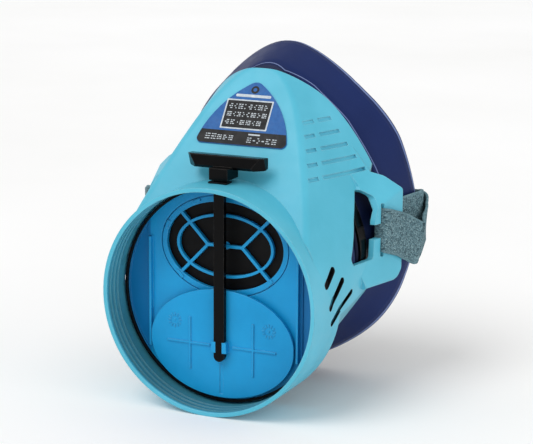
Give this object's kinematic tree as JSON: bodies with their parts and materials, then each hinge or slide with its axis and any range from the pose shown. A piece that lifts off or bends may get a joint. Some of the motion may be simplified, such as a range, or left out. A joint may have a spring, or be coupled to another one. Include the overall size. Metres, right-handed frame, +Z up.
{
  "type": "half-mask respirator",
  "caption": "Half-mask respirator with a round threaded cartridge holder, its lever-worked fit-check shutter, valves, face seal and head strap; cartridge removed.",
  "frame": {"origin": "centre of the cartridge holder's mouth, on the axis of its internal thread", "axes": "+Z up towards the wearer's nose, +Y from the holder's mouth towards the wearer's face, +X to the right of someone looking into the holder"},
  "size_m": [0.1224, 0.1018, 0.1401],
  "materials": {
    "shell_plastic": "satin moulded",
    "plate_plastic": "satin moulded",
    "black_plastic": "gloss",
    "navy_plastic": "matte moulded",
    "navy_rubber": "satin elastomer",
    "black_rubber": "matte elastomer",
    "valve_rubber": "thin soft elastomer",
    "label_film": "printed film",
    "screw_steel": "plated",
    "strap_webbing": "woven elastic"
  },
  "bodies": {
    "mask": {"front_shell": "shell_plastic", "valve_plate": "plate_plastic", "inlet_grille": "plate_plastic", "valve_retainer": "plate_plastic", "chamber_gasket": "black_rubber", "rod_seal": "black_rubber", "label_plate": "label_film", "inner_frame": "navy_plastic", "exhalation_seat": "plate_plastic", "exhalation_guard": "navy_plastic", "frame_screws": "screw_steel", "face_seal": "navy_rubber", "seal_clamp": "black_plastic", "head_strap": "strap_webbing", "strap_keeper": "black_rubber"},
    "fit_checker": {"shutter_plate": "plate_plastic", "shutter_seal": "black_rubber", "shutter_rod": "black_plastic", "lever_knob": "black_plastic"},
    "inhalation_flap": {"inhalation_valve": "valve_rubber"},
    "exhalation_flap": {"exhalation_valve": "valve_rubber"},
    "right_slider": {"strap_slider_right": "black_plastic"},
    "left_slider": {"strap_slider_left": "black_plastic"}
  },
  "joints": [
    {"name": "fit_check_lift", "type": "slide", "parent": "mask", "child": "fit_checker", "axis": [0, 0, 1], "range_m": [0, 0.0388]},
    {"name": "inhale_lift", "type": "slide", "parent": "mask", "child": "inhalation_flap", "axis": [0, 1, 0], "range_m": [0, 0.0015], "stiffness_N_per_m": 20, "springref_m": -0.001},
    {"name": "exhale_lift", "type": "slide", "parent": "mask", "child": "exhalation_flap", "axis": [0, -1, 0], "range_m": [0, 0.0015], "stiffness_N_per_m": 10, "springref_m": -0.001},
    {"name": "right_strap_adjust", "type": "slide", "parent": "mask", "child": "right_slider", "axis": [1, 0, 0], "range_m": [-0.006, 0.01]},
    {"name": "left_strap_adjust", "type": "slide", "parent": "mask", "child": "left_slider", "axis": [-1, 0, 0], "range_m": [-0.006, 0.01]}
  ]
}
